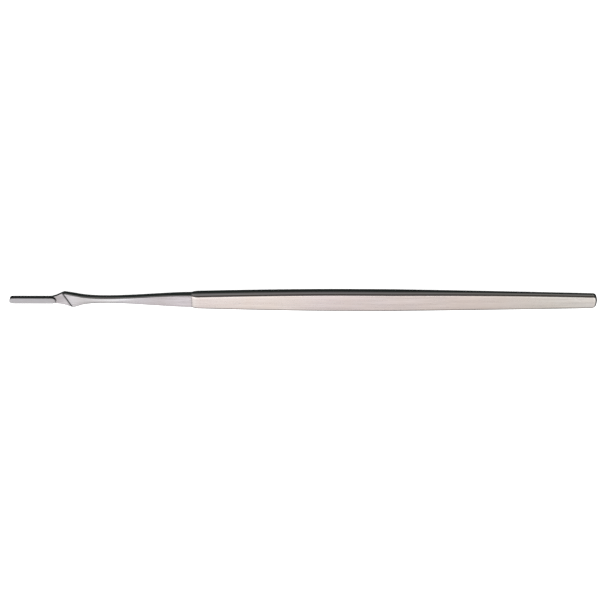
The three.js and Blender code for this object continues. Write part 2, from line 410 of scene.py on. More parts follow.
@dataclass(frozen=True)
class SteelFinish:
    """One finish of the stainless steel.

    Attributes:
        name: The material's name.
        tints: Colours along the handle, each with its place from butt (0) to tip (1): the steel's tone, with
            painted reflection in how their brightness and hue change along it.
        shade: How much darker the steel is between the streaks.
        roughness: Its roughness on average.
        roughness_swing: How much the streaks change that.
        streak_length: Length of a broad streak, in millimetres.
        streak_width: Width of a broad streak, in millimetres.
        fineness: How many times finer the scratches are.
        relief: Depth of the scratches, in millimetres.
        haze: How much rougher the handled patches are.
        cast: How much warmer the steel is in those patches.
        grime: How much darker the steel is painted deep in a crevice: painted shade in the corner at the
            shoulder's foot and in the groove round the stud.
        dents: Places of the small knocks, in millimetres around the seam, with their radii.
    """

    name: str
    tints: tuple[tuple[float, Colour], ...]
    shade: float
    roughness: float
    roughness_swing: float
    streak_length: float
    streak_width: float
    fineness: float
    relief: float
    haze: float
    cast: float = 0.05
    grime: float = 0.0
    dents: tuple[tuple[Point, float], ...] = ()

    def material(self, seam: Vector) -> bpy.types.Material:
        """Makes the material.

        Args:
            seam: Where the seam is in the row frame, in metres.

        Returns:
            The material, with all its detail from nodes.
        """
        made = bpy.data.materials.new(self.name)
        made.use_nodes = True
        made.node_tree.nodes.clear()
        graph = Graph(made.node_tree)
        place = graph.add("ShaderNodeTexCoord").outputs["Object"]
        grind = ToolMarks.GRIND.place(
            graph,
            {
                "Vector": place,
                "Streak length": self.streak_length * MM,
                "Streak width": self.streak_width * MM,
                "Fineness": self.fineness,
            },
        )
        haze = ToolMarks.HAZE.place(graph, {"Vector": place, "Patch size": HAZE_PATCH * MM})
        streak, scratch = (Field(graph, grind.outputs[i]) for i in (0, 1))
        patches, specks = (Field(graph, haze.outputs[i]) for i in (0, 1))
        height = streak * 0.5 + scratch * 0.5 - specks * SPECK_DEPTH
        for centre, radius in self.dents:
            where = seam + Vector(centre) * MM
            feeds = {"Vector": place, "Centre": where, "Radius": radius * MM}
            dent = ToolMarks.DENT.place(graph, feeds)
            height = height - Field(graph, dent.outputs[0]) * DENT_DEPTH
        feeds = {"Height": height, "Distance": self.relief * MM, "Strength": 1.0}
        bump = graph.add("ShaderNodeBump", feeds)
        rough = (streak - 0.5) * self.roughness_swing + patches * self.haze + self.roughness
        light = streak * STREAK_SHARE + scratch * (1.0 - STREAK_SHARE)
        steel = graph.add(
            "ShaderNodeBsdfPrincipled",
            {
                "Base Color": self.colour(graph, place, light, patches),
                "Roughness": rough,
                "Metallic": 1.0,
                "Normal": bump.outputs[0],
            },
        )
        graph.add("ShaderNodeOutputMaterial", {"Surface": steel.outputs[0]})
        return made

    def colour(
        self, graph: Graph, place: bpy.types.NodeSocket, light: Field, patches: Field
    ) -> bpy.types.NodeSocket:
        """Colours the steel.

        Args:
            graph: The material's graph.
            place: Object coordinates.
            light: How light the steel is among its streaks, from 0 to 1.
            patches: Where it was handled, from 0 to 1.

        Returns:
            The socket that carries the colour.
        """
        # the ramp gives the steel's tone along the handle, with painted reflection in its changes of
        # brightness and hue
        low, high = (corner.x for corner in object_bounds())
        along = graph.split(place)[0].between(low, high - low)
        ramp = graph.add("ShaderNodeValToRGB", {"Fac": along})
        fill_ramp(ramp.color_ramp, self.tints)
        # painted shade: the crevice mark darkens the steel in the corner at the shoulder's foot and in the
        # groove round the stud
        crevice = Field(graph, graph.add("ShaderNodeAttribute", attribute_name=CREVICE_SHADE).outputs["Fac"])
        shade = ((light - 1.0) * self.shade + 1.0) * (1.0 - crevice * self.grime)
        shaded = graph.add("ShaderNodeMix", {0: 1.0}, data_type="RGBA", blend_type="MULTIPLY")
        cast = patches * self.cast
        layers = graph.join(shade, shade * (1.0 - cast * GREEN_SHARE), shade * (1.0 - cast))
        for index, socket in ((6, ramp.outputs[0]), (7, layers)):
            graph.tree.links.new(socket, shaded.inputs[index])
        return shaded.outputs[2]


def fill_ramp(ramp: bpy.types.ColorRamp, stops: Sequence[tuple[float, Colour]]) -> None:
    """Gives a colour ramp its stops.

    Args:
        ramp: The ramp of a Color Ramp node.
        stops: Places from 0 to 1 in order, each with its colour.
    """
    while len(ramp.elements) > 1:
        ramp.elements.remove(ramp.elements[-1])
    for number, (place, colour) in enumerate(stops):
        stop = ramp.elements[0] if number == 0 else ramp.elements.new(place)
        stop.position = place
        stop.color = (*colour, 1.0)


def piece(name: str, mesh: bpy.types.Mesh, node: str) -> bpy.types.Object:
    """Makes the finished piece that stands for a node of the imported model.

    Args:
        name: The piece's name.
        mesh: Its mesh, in the row frame.
        node: The node that it stands for.

    Returns:
        The piece.
    """
    made = bpy.data.objects.new(name, mesh)
    mesh.name = name
    bpy.context.scene.collection.objects.link(made)
    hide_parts(node)
    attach(made, "root")
    log.info("%s: %d faces, stands for %s", name, len(mesh.polygons), node)
    return made


def two_finishes(
    mesh: bpy.types.Mesh, narrow: bpy.types.Material, level: float, ahead: float = 1.0
) -> None:
    """Gives the narrow sides, bevels and ends of a mesh their own finish.

    Args:
        mesh: A mesh that is all in one finish.
        narrow: The finish of what doesn't face up or down.
        level: How near to straight up or down a face has to point to keep its first finish.
        ahead: How far towards the tip a face has to point to keep it too.
    """
    mesh.materials.append(narrow)
    for polygon in mesh.polygons:
        kept = abs(polygon.normal.z) > level or polygon.normal.x > ahead
        polygon.material_index = 0 if kept else 1


@dataclass
class Grip:
    """The bevelled bar with crowned sides, a rounded butt and a blind socket for the neck's tenon.

    Its length, width and thickness come from its node. The other sizes are fields, in millimetres, but the
    curves, the sharpness and the squareness are powers.
    """

    front_width: float = 6.2
    widest_at: float = 52.7
    butt_width: float = 6.1
    butt_round: float = 1.8
    taper_at: float = 71.7
    butt_thickness: float = 2.35
    bevel: float = 0.44
    crown: float = 0.06
    nose_length: float = 2.3
    nose_drop: float = 0.5
    nose_tuck: float = 0.06
    front_curve: float = 1.6
    butt_curve: float = 2.1
    taper_curve: float = 1.8
    socket_depth: float = 12.5
    socket_width: float = 3.4
    socket_thickness: float = 1.7
    corner_reach: float = 1.05
    edge_sharpness: float = 34.0
    edge_drop: float = 0.10
    butt_squareness: float = 0.8
    face_crown: float = 0.05
    nose_rows: int = 24
    body_rows: int = 144
    butt_rows: int = 24
    side_columns: int = 5
    corner_columns: int = 26
    face_columns: int = 8
    face_level: ClassVar[float] = 0.955
    nose_level: ClassVar[float] = 0.25
    plain_numbers: ClassVar[tuple[str, ...]] = ("curve", "sharpness", "squareness")

    def build(
        self, face: bpy.types.Material, narrow: bpy.types.Material, seam: Vector
    ) -> bpy.types.Object:
        """Builds the grip.

        Args:
            face: The finish of the wide faces.
            narrow: The finish of the sides, bevels and ends.
            seam: Where the seam is in the row frame, in metres.

        Returns:
            The piece.
        """
        low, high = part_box("grip")
        rule = SizedRule("Ground bar", self.sizes(high - low), face)
        count = 4 * self.quarter() + 1
        rows = SOCKET_ROWS + 1 + self.nose_rows + self.body_rows + self.butt_rows
        sheet = rule.graph.add("GeometryNodeMeshGrid", {"Vertices X": rows, "Vertices Y": count})
        position = self.bar_rule(rule, count)
        feeds = {"Geometry": sheet.outputs[0], "Position": position}
        bar = rule.graph.add("GeometryNodeSetPosition", feeds)
        rule.close(bar.outputs[0])
        start = bpy.data.objects.new("bar_start", bpy.data.meshes.new("bar_start"))
        bpy.context.scene.collection.objects.link(start)
        mesh = rule.run(start)
        bpy.data.objects.remove(start)
        mesh.transform(Matrix.Translation(seam))
        face_outwards(mesh)
        two_finishes(mesh, narrow, self.face_level, self.nose_level)
        return piece("grip_bar", mesh, "grip")

    def quarter(self) -> int:
        """How many columns go round a quarter of the section."""
        return self.side_columns + self.corner_columns + self.face_columns

    def sizes(self, box: Vector) -> dict[str, float]:
        """Names the rule's inputs after the fields.

        Args:
            box: The node's length, width and thickness, in metres.

        Returns:
            Each input's value, lengths in metres.
        """
        sizes = {"Length": box.x, "Width": box.y, "Thickness": box.z}
        for item in fields(self):
            value = getattr(self, item.name)
            if isinstance(value, float):
                unit = 1.0 if item.name.endswith(self.plain_numbers) else MM
                sizes[item.name.replace("_", " ").capitalize()] = value * unit
        return sizes

    def bar_rule(self, rule: SizedRule, count: int) -> bpy.types.NodeSocket:
        """Writes the rule that turns a flat grid into the bar.

        Rows run from the socket's end out to the seam and back along the bar to its butt, and columns run
        round the section. In each quarter of it, share goes from the middle of a side to that of a face.

        Args:
            rule: The tree and its sizes.
            count: How many columns the grid has.

        Returns:
            The socket that carries each point's position.
        """
        graph, size = rule.graph, rule.sizes
        index = Field(graph, graph.add("GeometryNodeInputIndex").outputs[0])
        row = (index / count).floor()
        turned = (index - row * count) / self.quarter()
        quadrant = turned.floor()
        passed = turned - quadrant
        share = passed + graph.math("MODULO", quadrant, 2.0) * (1.0 - passed * 2.0)
        # quadrants 1 and 2 are on the -Y side, and 2 and 3 are below
        side_y = graph.math("COMPARE", quadrant, 1.5, 0.6) * -2.0 + 1.0
        side_z = quadrant.over(1.5) * -2.0 + 1.0
        steps = self.quarter()
        up_side = share.between(0.0, self.side_columns / steps)
        round_corner = share.between(self.side_columns / steps, self.corner_columns / steps)
        over_face = share.between(1.0 - self.face_columns / steps, self.face_columns / steps)

        body_from = SOCKET_ROWS + self.nose_rows
        nose = row.between(SOCKET_ROWS, self.nose_rows)
        along = row.between(body_from, self.body_rows)
        butt_angle = row.between(body_from + self.body_rows, self.butt_rows) * QUARTER_TURN
        unswollen = (1.0 - nose) * (1.0 - nose)
        nose_x = -(nose * size["Nose length"])
        straight = size["Length"] - size["Butt round"] - size["Nose length"]
        station = nose_x - straight * along

        behind = -station - size["Widest at"]
        to_front = (-behind).positive() / size["Widest at"]
        to_butt = behind.positive() / (size["Length"] - size["Butt round"] - size["Widest at"])
        narrowed = (size["Width"] - size["Front width"]) * to_front ** size["Front curve"]
        narrowed = narrowed + (size["Width"] - size["Butt width"]) * to_butt ** size["Butt curve"]
        half_width = (size["Width"] - narrowed) / 2.0 - size["Nose tuck"] * unswollen

        reach, sharp = size["Corner reach"], size["Edge sharpness"]
        angle = round_corner * QUARTER_TURN
        cosine, sine = graph.math("COSINE", angle), graph.math("SINE", angle)
        sloped = (cosine + sine) * reach / (reach * 2.0 - size["Bevel"])
        radius = reach / (cosine**sharp + sine**sharp + sloped**sharp) ** (1.0 / sharp)
        out, up = radius * cosine, radius * sine
        lip = reach - size["Bevel"]
        on_face = up.between(lip, size["Bevel"])
        worn = out.between(0.0, lip)
        up = up - size["Edge drop"] * worn * worn * on_face

        towards_end = graph.math("SINE", butt_angle).positive() ** size["Butt squareness"]
        towards_axis = graph.math("COSINE", butt_angle).positive() ** size["Butt squareness"]
        butt_x = (size["Butt round"] - reach + out) * towards_end
        x = station - butt_x
        taper_start = size["Taper at"]
        tapered = (-x).between(taper_start, size["Length"] - taper_start)
        untapered = (1.0 - tapered) ** size["Taper curve"]
        thinned = (size["Thickness"] - size["Butt thickness"]) * (1.0 - untapered)
        half_thickness = (size["Thickness"] - thinned) / 2.0 - size["Nose drop"] * unswollen
        z = (half_thickness - reach) * up_side + up
        rim = graph.math("DIVIDE", z, half_thickness - size["Bevel"], clamp=True)
        pulled_in = size["Crown"] * rim * rim * half_thickness * 2.0 / size["Thickness"]
        width_here = (half_width - pulled_in - reach) * (1.0 - over_face) + out * (1.0 - over_face)
        y = width_here * towards_axis
        across = y / half_width
        z = z - size["Face crown"] * across * across * on_face

        outside = row.over(SOCKET_ROWS - 0.5)
        inside = 1.0 - outside
        mouth = row.over(0.5) * inside
        socket_x = -(size["Socket depth"] * (1.0 - row.over(1.5)))
        socket_y = size["Socket width"] / 2.0 * (1.0 - over_face) * mouth
        socket_z = size["Socket thickness"] / 2.0 * up_side * mouth
        return graph.join(
            x * outside + socket_x * inside,
            (y * outside + socket_y) * side_y,
            (z * outside + socket_z) * side_z,
        )


def face_outwards(mesh: bpy.types.Mesh) -> None:
    """Merges the doubles of a closed mesh and turns its faces outwards.

    Args:
        mesh: The mesh, which is changed in place.
    """
    solid = bmesh.new()
    solid.from_mesh(mesh)
    bmesh.ops.remove_doubles(solid, verts=solid.verts, dist=WELD)
    bmesh.ops.recalc_face_normals(solid, faces=solid.faces)
    if solid.calc_volume(signed=True) < 0:
        bmesh.ops.reverse_faces(solid, faces=solid.faces)
    solid.to_mesh(mesh)
    solid.free()


def smooth_step(x: float, start: float, end: float) -> float:
    """A smooth change from 0 at start to 1 at end."""
    share = min(1.0, max(0.0, (x - start) / (end - start)))
    return share * share * (3.0 - 2.0 * share)


def plateau(x: float, middle: float, span: tuple[float, ...]) -> float:
    """1 on a stretch around its middle, changing smoothly to 0 outside it; span is where both changes are."""
    rise, risen, fall, fallen = (middle + offset for offset in span)
    return smooth_step(x, rise, risen) * (1.0 - smooth_step(x, fall, fallen))


def bezier(points: Sequence[tuple[float, float]], steps: int) -> list[Vector]:
    """Samples a Bezier curve in the plane.

    Args:
        points: Its control points, three for a quadratic curve and four for a cubic one.
        steps: How many stretches to sample.

    Returns:
        The sampled points, both ends included.
    """
    samples = []
    for step in range(steps + 1):
        share = step / steps
        level = [Vector(point) for point in points]
        while len(level) > 1:
            level = [a.lerp(b, share) for a, b in zip(level, level[1:])]
        samples.append(level[0])
    return samples


@dataclass
class BladeHolder:
    """The neck, the skewed shoulder and the flat tang in one, with the tenon that the grip hides.

    The tang's tip and the stud's size come from their nodes. The other sizes are fields, in millimetres. An
    "at" and the tang edge's span are distances behind the stud's end, and the other spans are where something
    fades, around the middle of the wall or of the waist.
    """

    tang_width: float = 2.4
    tang_thickness: float = 0.97
    tang_lift: float = 0.46
    flare_length: float = 2.0
    flare_width: float = 3.45
    shoulder_width: float = 6.7
    near_corner_at: float = 3.6
    far_corner_at: float = 5.9
    flank_foot_at: float = 11.7
    flank_straight: float = 0.55
    wall_near_at: float = 2.9
    wall_lean: float = 0.34
    wall_fillet: float = 0.40
    wall_top_rounding: float = 0.30
    # the sizes named crevice and shade set where painted shade darkens the corner at the wall's foot and the
    # groove round the stud
    crevice_reach: float = 0.85
    stud_crevice: float = 0.50
    ramp_length: float = 5.5
    ramp_straightness: float = 0.6
    near_flare: tuple[tuple[float, float], ...] = ((2.4, 0.97), (0.8, 0.05))
    far_flare: tuple[tuple[float, float], ...] = ((4.8, 0.9), (3.2, 0.0))
    neck_thickness: float = 1.95
    neck_seam_width: float = 5.5
    seam_swell: float = 0.20
    swell_length: float = 14.0
    seam_under_rounding: float = 0.14
    waist_width: float = 2.3
    waist_at: float = 18.1
    waist_crown: float = 0.10
    far_crown_share: float = 0.5
    face_crown: float = 0.015
    waist_rounding: float = 0.36
    neck_rounding: float = 0.32
    tang_rounding: float = 0.07
    vertex_softening: float = 0.11
    softening_from: float = 10.0
    softening_weights: tuple[int, ...] = (1, 3, 5, 6, 5, 3, 1)
    skew_span: tuple[float, ...] = (-14.0, -1.0, 0.9, 7.5)
    waist_span: tuple[float, ...] = (-16.0, -2.0, 3.0, 11.0)
    tang_edge_span: tuple[float, float] = (4.9, 4.1)
    # where the painted shade at the wall's foot and round the stud is full and where it fades
    crevice_middle: float = 0.12
    crevice_core: float = 0.25
    wall_shade_span: tuple[float, float] = (0.28, 0.45)
    stud_crevice_core: float = 0.04
    side_shade_span: tuple[float, float] = (0.02, 0.2)
    foot_clearance: float = 0.6
    tenon_length: float = 12.0
    tenon_width: float = 3.2
    tenon_thickness: float = 1.5
    face_level: float = 0.93
    row_step: float = 0.45
    crossing_passes: int = 40
    rounding_steps: int = 7
    tip_rows: int = 16
    side_columns: int = 4
    corner_columns: int = 8
    face_columns: int = 8
    holder_length: float = field(init=False, default=0.0)
    stud_end: float = field(init=False, default=0.0)
    edges: dict[int, list[Vector]] = field(init=False, default_factory=dict)

    def build(
        self, face: bpy.types.Material, narrow: bpy.types.Material, seam: Vector
    ) -> bpy.types.Object:
        """Builds the holder.

        Args:
            face: The finish of the faces.
            narrow: The finish of the sides and of the shoulder's wall.
            seam: Where the seam is in the row frame, in metres.

        Returns:
            The piece.
        """
        self.holder_length = (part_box("blade_holder")[1].x - seam.x) / MM
        self.stud_end = (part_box("blade_stud")[0].x - seam.x) / MM
        self.edges = {side: self.edge(side) for side in (-1, 1)}
        rings = [*self.tenon_rings(), *self.body_rings(), *self.tip_rings()]
        count = len(rings[0])
        corners = [Vector(corner) * MM for ring in rings for corner in ring]
        faces = []
        for start in range(0, len(corners) - count, count):
            for i in range(count):
                a, b = start + i, start + (i + 1) % count
                faces.append((a, b, b + count, a + count))
        mesh = bpy.data.meshes.new("blade_holder_body")
        mesh.from_pydata(corners, [], faces)
        mesh.transform(Matrix.Translation(seam))
        mesh.materials.append(face)
        face_outwards(mesh)
        mesh.shade_smooth()
        self.mark_crevice(mesh, seam)
        two_finishes(mesh, narrow, self.face_level)
        return piece("blade_holder_body", mesh, "blade_holder")

    def mark_crevice(self, mesh: bpy.types.Mesh, seam: Vector) -> None:
        """Marks the painted shade of each point: how deep it is in the corner at the shoulder's foot or in
        the groove under the stud.

        Args:
            mesh: The holder's mesh, in the row frame.
            seam: Where the seam is in the row frame, in metres.
        """
        depth = mesh.attributes.new(CREVICE_SHADE, "FLOAT", "POINT")
        slant, foot_x = self.slant(), self.foot_at()
        low, high = ((corner - seam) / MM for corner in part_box("blade_stud"))
        middle_x, stud_radius = (low.x + high.x) / 2, (high.y - low.y) / 2
        straight = (high.x - low.x) / 2 - stud_radius
        # painted shade: near_foot darkens the corner at the wall's foot, kept off the wall's rounded top, and
        # near_stud darkens the tang round the stud, fading down its sides
        for vertex, mark in zip(mesh.vertices, depth.data):
            place = (vertex.co - seam) / MM
            before = (place.x - foot_x) * math.cos(slant) + place.y * math.sin(slant)
            above = place.z - self.tang_top()
            apart = math.hypot(before + self.crevice_middle, above)
            near_foot = 1.0 - smooth_step(apart, self.crevice_core, self.crevice_reach)
            near_foot *= 1.0 - smooth_step(above, *self.wall_shade_span)
            beyond = math.hypot(max(0.0, abs(place.x - middle_x) - straight), place.y) - stud_radius
            near_stud = 1.0 - smooth_step(beyond, self.stud_crevice_core, self.stud_crevice)
            if above < -self.side_shade_span[0]:
                near_foot = 0.0
                near_stud *= 1.0 - smooth_step(-above, *self.side_shade_span)
            on_tang = place.x > foot_x + self.foot_clearance
            mark.value = max(near_foot, near_stud if on_tang else 0.0)

    def slant(self) -> float:
        """The angle between the shoulder's wall and a line square across the holder."""
        return math.atan2(self.far_corner_at - self.wall_near_at, self.shoulder_width)

    def foot_at(self) -> float:
        """The place of the wall's foot along the middle of the holder."""
        return self.behind_stud((self.wall_near_at + self.far_corner_at) / 2)

    def behind_stud(self, distance: float) -> float:
        """The place that is this far behind the stud's end."""
        return self.stud_end - distance

    def edge(self, side: int) -> list[Vector]:
        """Draws one long edge of the plan.

        Args:
            side: 1 for the edge on the +Y side and -1 for the other.

        Returns:
            Its points from the seam to the tang, with y as the distance from the middle.
        """
        corner_at = self.far_corner_at if side > 0 else self.near_corner_at
        flare = self.far_flare if side > 0 else self.near_flare
        seam_y, waist_y, corner_y, flare_y, tang_y = (
            width / 2
            for width in (
                self.neck_seam_width,
                self.waist_width,
                self.shoulder_width,
                self.flare_width,
                self.tang_width,
            )
        )
        waist_x, flare_x = self.behind_stud(self.waist_at), self.behind_stud(0.0)
        corner = Vector((self.behind_stud(corner_at), corner_y))
        foot = Vector((self.behind_stud(self.flank_foot_at), waist_y))
        flank = corner.lerp(foot, self.flank_straight)
        controls = [
            (self.behind_stud(behind), flare_y + (corner_y - flare_y) * share) for behind, share in flare
        ]
        tang_x = flare_x + self.flare_length
        waist, flare_end = (waist_x, waist_y), (flare_x, flare_y)
        neck = ((0, seam_y), (waist_x / 3, seam_y), (waist_x * 2 / 3, waist_y), waist)
        stretches = (
            (neck, 60),
            ((waist, foot, flank), 30),
            ((flank, corner), 2),
            ((corner, *controls, flare_end), 40),
            ((flare_end, (flare_x + self.flare_length / 2, tang_y), (tang_x, tang_y)), 20),
        )
        points = [point for curve, steps in stretches for point in bezier(curve, steps)]
        return [*points, Vector((self.holder_length, tang_y))]

    def edge_at(self, side: int, x: float) -> float:
        """Finds how far an edge is from the middle, before its corners are softened.

        Args:
            side: 1 for the edge on the +Y side and -1 for the other.
            x: The place along the holder.

        Returns:
            The distance.
        """
        points = self.edges[side]
        for a, b in zip(points, points[1:]):
            if a.x <= x <= b.x and b.x > a.x:
                return a.y + (b.y - a.y) * (x - a.x) / (b.x - a.x)
        return points[0].y if x < 0 else points[-1].y

    def soft_edge_at(self, side: int, x: float) -> float:
        """Finds how far an edge is from the middle, with softened corners.

        Args:
            side: 1 for the edge on the +Y side and -1 for the other.
            x: The place along the holder.

        Returns:
            The distance.
        """
        reach = self.vertex_softening * smooth_step(x, 0.0, self.softening_from)
        weights = self.softening_weights
        half = len(weights) // 2
        samples = [self.edge_at(side, x + reach * step / half) for step in range(-half, half + 1)]
        return sum(a * b for a, b in zip(samples, weights)) / sum(weights)

    def skew(self, x: float) -> float:
        """How far a row leans forward for each millimetre across, as the shoulder's wall does."""
        wall = (self.wall_near_at - self.far_corner_at) / self.shoulder_width
        return wall * plateau(x, self.foot_at(), self.skew_span)

    def wall_profile(self) -> list[tuple[float, float]]:
        """Draws the top from the shoulder's face down its leaning wall to the tang.

        Returns:
            Places along the middle, in rising order, each with the height of the top there.
        """
        foot_x = self.foot_at()
        top, low = self.neck_thickness / 2, self.tang_top()
        lean = self.wall_lean / math.cos(self.slant())
        head = Vector((foot_x - lean, top))
        foot = Vector((foot_x, low))
        down = (foot - head).normalized()
        points = []
        for corner, before, after, radius in (
            (head, Vector((1, 0)), down, self.wall_top_rounding),
            (foot, down, Vector((1, 0)), self.wall_fillet),
        ):
            turn = math.acos(max(-1.0, min(1.0, before.dot(after))))
            reach = radius * math.tan(turn / 2)
            start, end = corner - before * reach, corner + after * reach
            points.extend(bezier((start, corner, end), self.rounding_steps))
        return [(point.x, point.y) for point in points]

    def tang_top(self) -> float:
        """The height of the tang's top over the mid-plane."""
        return self.tang_lift - self.neck_thickness / 2 + self.tang_thickness

    def bottom_at(self, x: float) -> float:
        """Finds the height of the underside over the mid-plane.

        Args:
            x: The place along the holder.

        Returns:
            The height, which rises over the ramp from the neck's underside to the tang's.
        """
        ramp_end = self.behind_stud(self.wall_near_at)
        smooth = smooth_step(x, ramp_end - self.ramp_length, ramp_end)
        straight = min(1.0, max(0.0, (x - ramp_end + self.ramp_length) / self.ramp_length))
        share = self.ramp_straightness * straight + (1.0 - self.ramp_straightness) * smooth
        return self.tang_lift * share - self.neck_thickness / 2

    def stations(self) -> list[tuple[float, float]]:
        """Lists the rows of the body from the seam to where the tang's round tip starts.

        Returns:
            Each row's place along the middle and the height of the top there.
        """
        wall = self.wall_profile()
        top, low = self.neck_thickness / 2, self.tang_top()
        tip_centre = self.holder_length - self.tang_width / 2
        before = max(2, round(wall[0][0] / self.row_step))
        after = max(2, round((tip_centre - wall[-1][0]) / self.row_step))
        rows = [(wall[0][0] * i / before, top) for i in range(before)]
        rows.extend(wall)
        reach = tip_centre - wall[-1][0]
        rows.extend((wall[-1][0] + reach * i / after, low) for i in range(1, after + 1))
        return rows

    def rounding_and_crown(self, x: float) -> tuple[float, float]:
        """Gives the softness of the top at a place along the holder.

        Args:
            x: The place.

        Returns:
            The rounding of the top edges and the crown of the top there.
        """
        near_waist = plateau(x, self.behind_stud(self.waist_at), self.waist_span)
        on_tang = smooth_step(x, *(self.behind_stud(behind) for behind in self.tang_edge_span))
        neck = self.neck_rounding + (self.waist_rounding - self.neck_rounding) * near_waist
        crown = self.face_crown + (self.waist_crown - self.face_crown) * near_waist
        return neck + (self.tang_rounding - neck) * on_tang, crown * (1 - on_tang)

    def ring(
        self,
        place: Callable[[float, int], tuple[float, float]],
        heights: tuple[float, float],
        roundings: tuple[float, float] = (0.0, 0.0),
        crown: float = 0.0,
    ) -> list[Point]:
        """Goes once round the section of a row.

        Args:
            place: Gives x and y for an inset from the plan's edge and a side, where 0 is the middle.
            heights: The top and the bottom.
            roundings: The rounding between the top and the sides, and the one at the bottom.
            crown: How far the top rises towards its middle.

        Returns:
            The ring's points.
        """
        middle = sum(heights) / 2
        points = []
        for side, below, order in ((1, 0, 1), (-1, 0, -1), (-1, 1, 1), (1, 1, -1)):
            out, level, rounding = 1 - 2 * below, heights[below], roundings[below]
            quarter = self.quarter(rounding)
            samples = quarter[:-1] if order > 0 else quarter[:0:-1]
            for inset, up_side, up_corner, inward in samples:
                edge_x, edge_y = place(inset, side)
                middle_x, middle_y = place(inset, 0)
                x = edge_x + (middle_x - edge_x) * inward
                y = edge_y + (middle_y - edge_y) * inward
                straight = abs(level - middle) - rounding
                z = middle + out * (straight * up_side + rounding * up_corner)
                crown_here = 0.0 if below else crown * (self.far_crown_share if side > 0 else 1.0)
                fall = crown_here * (1 - inward) ** 2 if up_corner > 0 else crown_here * up_side
                points.append((x, y, z - fall))
        return points

    def quarter(self, rounding: float) -> list[tuple[float, float, float, float]]:
        """Samples a quarter of a section, from the middle of a side to the middle of a face.

        Args:
            rounding: The rounding between the side and the face.

        Returns:
            For each sample, its inset from the side, how far it is up the side, how far up the rounding,
            and how far in over the face.
        """
        samples = [(0.0, step / self.side_columns, 0.0, 0.0) for step in range(self.side_columns)]
        for step in range(self.corner_columns):
            angle = QUARTER_TURN * step / self.corner_columns
            samples.append((rounding * (1 - math.cos(angle)), 1.0, math.sin(angle), 0.0))
        inward = [step / self.face_columns for step in range(self.face_columns + 1)]
        return samples + [(rounding, 1.0, 1.0, share) for share in inward]

    def body_rings(self) -> list[list[Point]]:
        """Draws the body.

        Returns:
            The rings from the seam to the start of the tang's round tip.
        """
        rings = []
        for along, top in self.stations():
            slope = self.skew(along)
            reach = {side: self.crossing(side, along, slope) for side in (-1, 1)}
            centre = (reach[1] + reach[-1]) / 2
            half = (reach[1] - reach[-1]) / 2
            rounding, crown = self.rounding_and_crown(along)
            share = smooth_step(top, self.tang_top(), self.neck_thickness / 2)
            rounding = self.tang_rounding + (rounding - self.tang_rounding) * share
            near_seam = 1 - smooth_step(along, 0.0, self.swell_length)
            swell = self.seam_swell * near_seam
            under = self.tang_rounding + (self.seam_under_rounding - self.tang_rounding) * near_seam

            def place(inset: float, side: int) -> tuple[float, float]:
                """The point of this row that is inset from one edge."""
                y = centre + side * (half - inset)
                return along + slope * y, y

            heights = (top + swell, self.bottom_at(along) - swell)
            rings.append(self.ring(place, heights, (rounding, under), crown))
        return rings

    def crossing(self, side: int, along: float, slope: float) -> float:
        """Finds where a row meets one edge of the plan.

        Args:
            side: 1 for the edge on the +Y side and -1 for the other.
            along: The row's place along the middle.
            slope: How far the row leans forward for each millimetre across.

        Returns:
            The y of the meeting point.
        """
        y = 0.0
        for _ in range(self.crossing_passes):
            y = 0.5 * y + 0.5 * side * self.soft_edge_at(side, along + slope * y)
        return y

    def tip_rings(self) -> list[list[Point]]:
        """Draws the tang's round tip.

        Returns:
            The rings round the tip, the last one drawn together into a line.
        """
        radius = self.tang_width / 2
        centre = self.holder_length - radius
        heights = (self.tang_top(), self.bottom_at(centre))
        rings = []
        for row in range(1, self.tip_rows + 1):
            angle = QUARTER_TURN * row / self.tip_rows

            def place(inset: float, side: int) -> tuple[float, float]:
                """The point of this row that is inset from one edge."""
                reach = radius - inset
                return centre + reach * math.sin(angle), side * reach * math.cos(angle)

            rings.append(self.ring(place, heights, (self.tang_rounding, self.tang_rounding)))
        return rings

    def tenon_rings(self) -> list[list[Point]]:
        """Draws the tenon.

        Returns:
            The rings from its end, which is drawn together into a point, to the seam.
        """
        rings = []
        half_width, half_thickness = self.tenon_width / 2, self.tenon_thickness / 2
        for x, size in ((-self.tenon_length, 0.0), (-self.tenon_length, 1.0), (0.0, 1.0)):

            def place(_: float, side: int) -> tuple[float, float]:
                """The corner of the tenon on this side."""
                return x, side * half_width * size

            rings.append(self.ring(place, (half_thickness * size, -half_thickness * size)))
        return rings


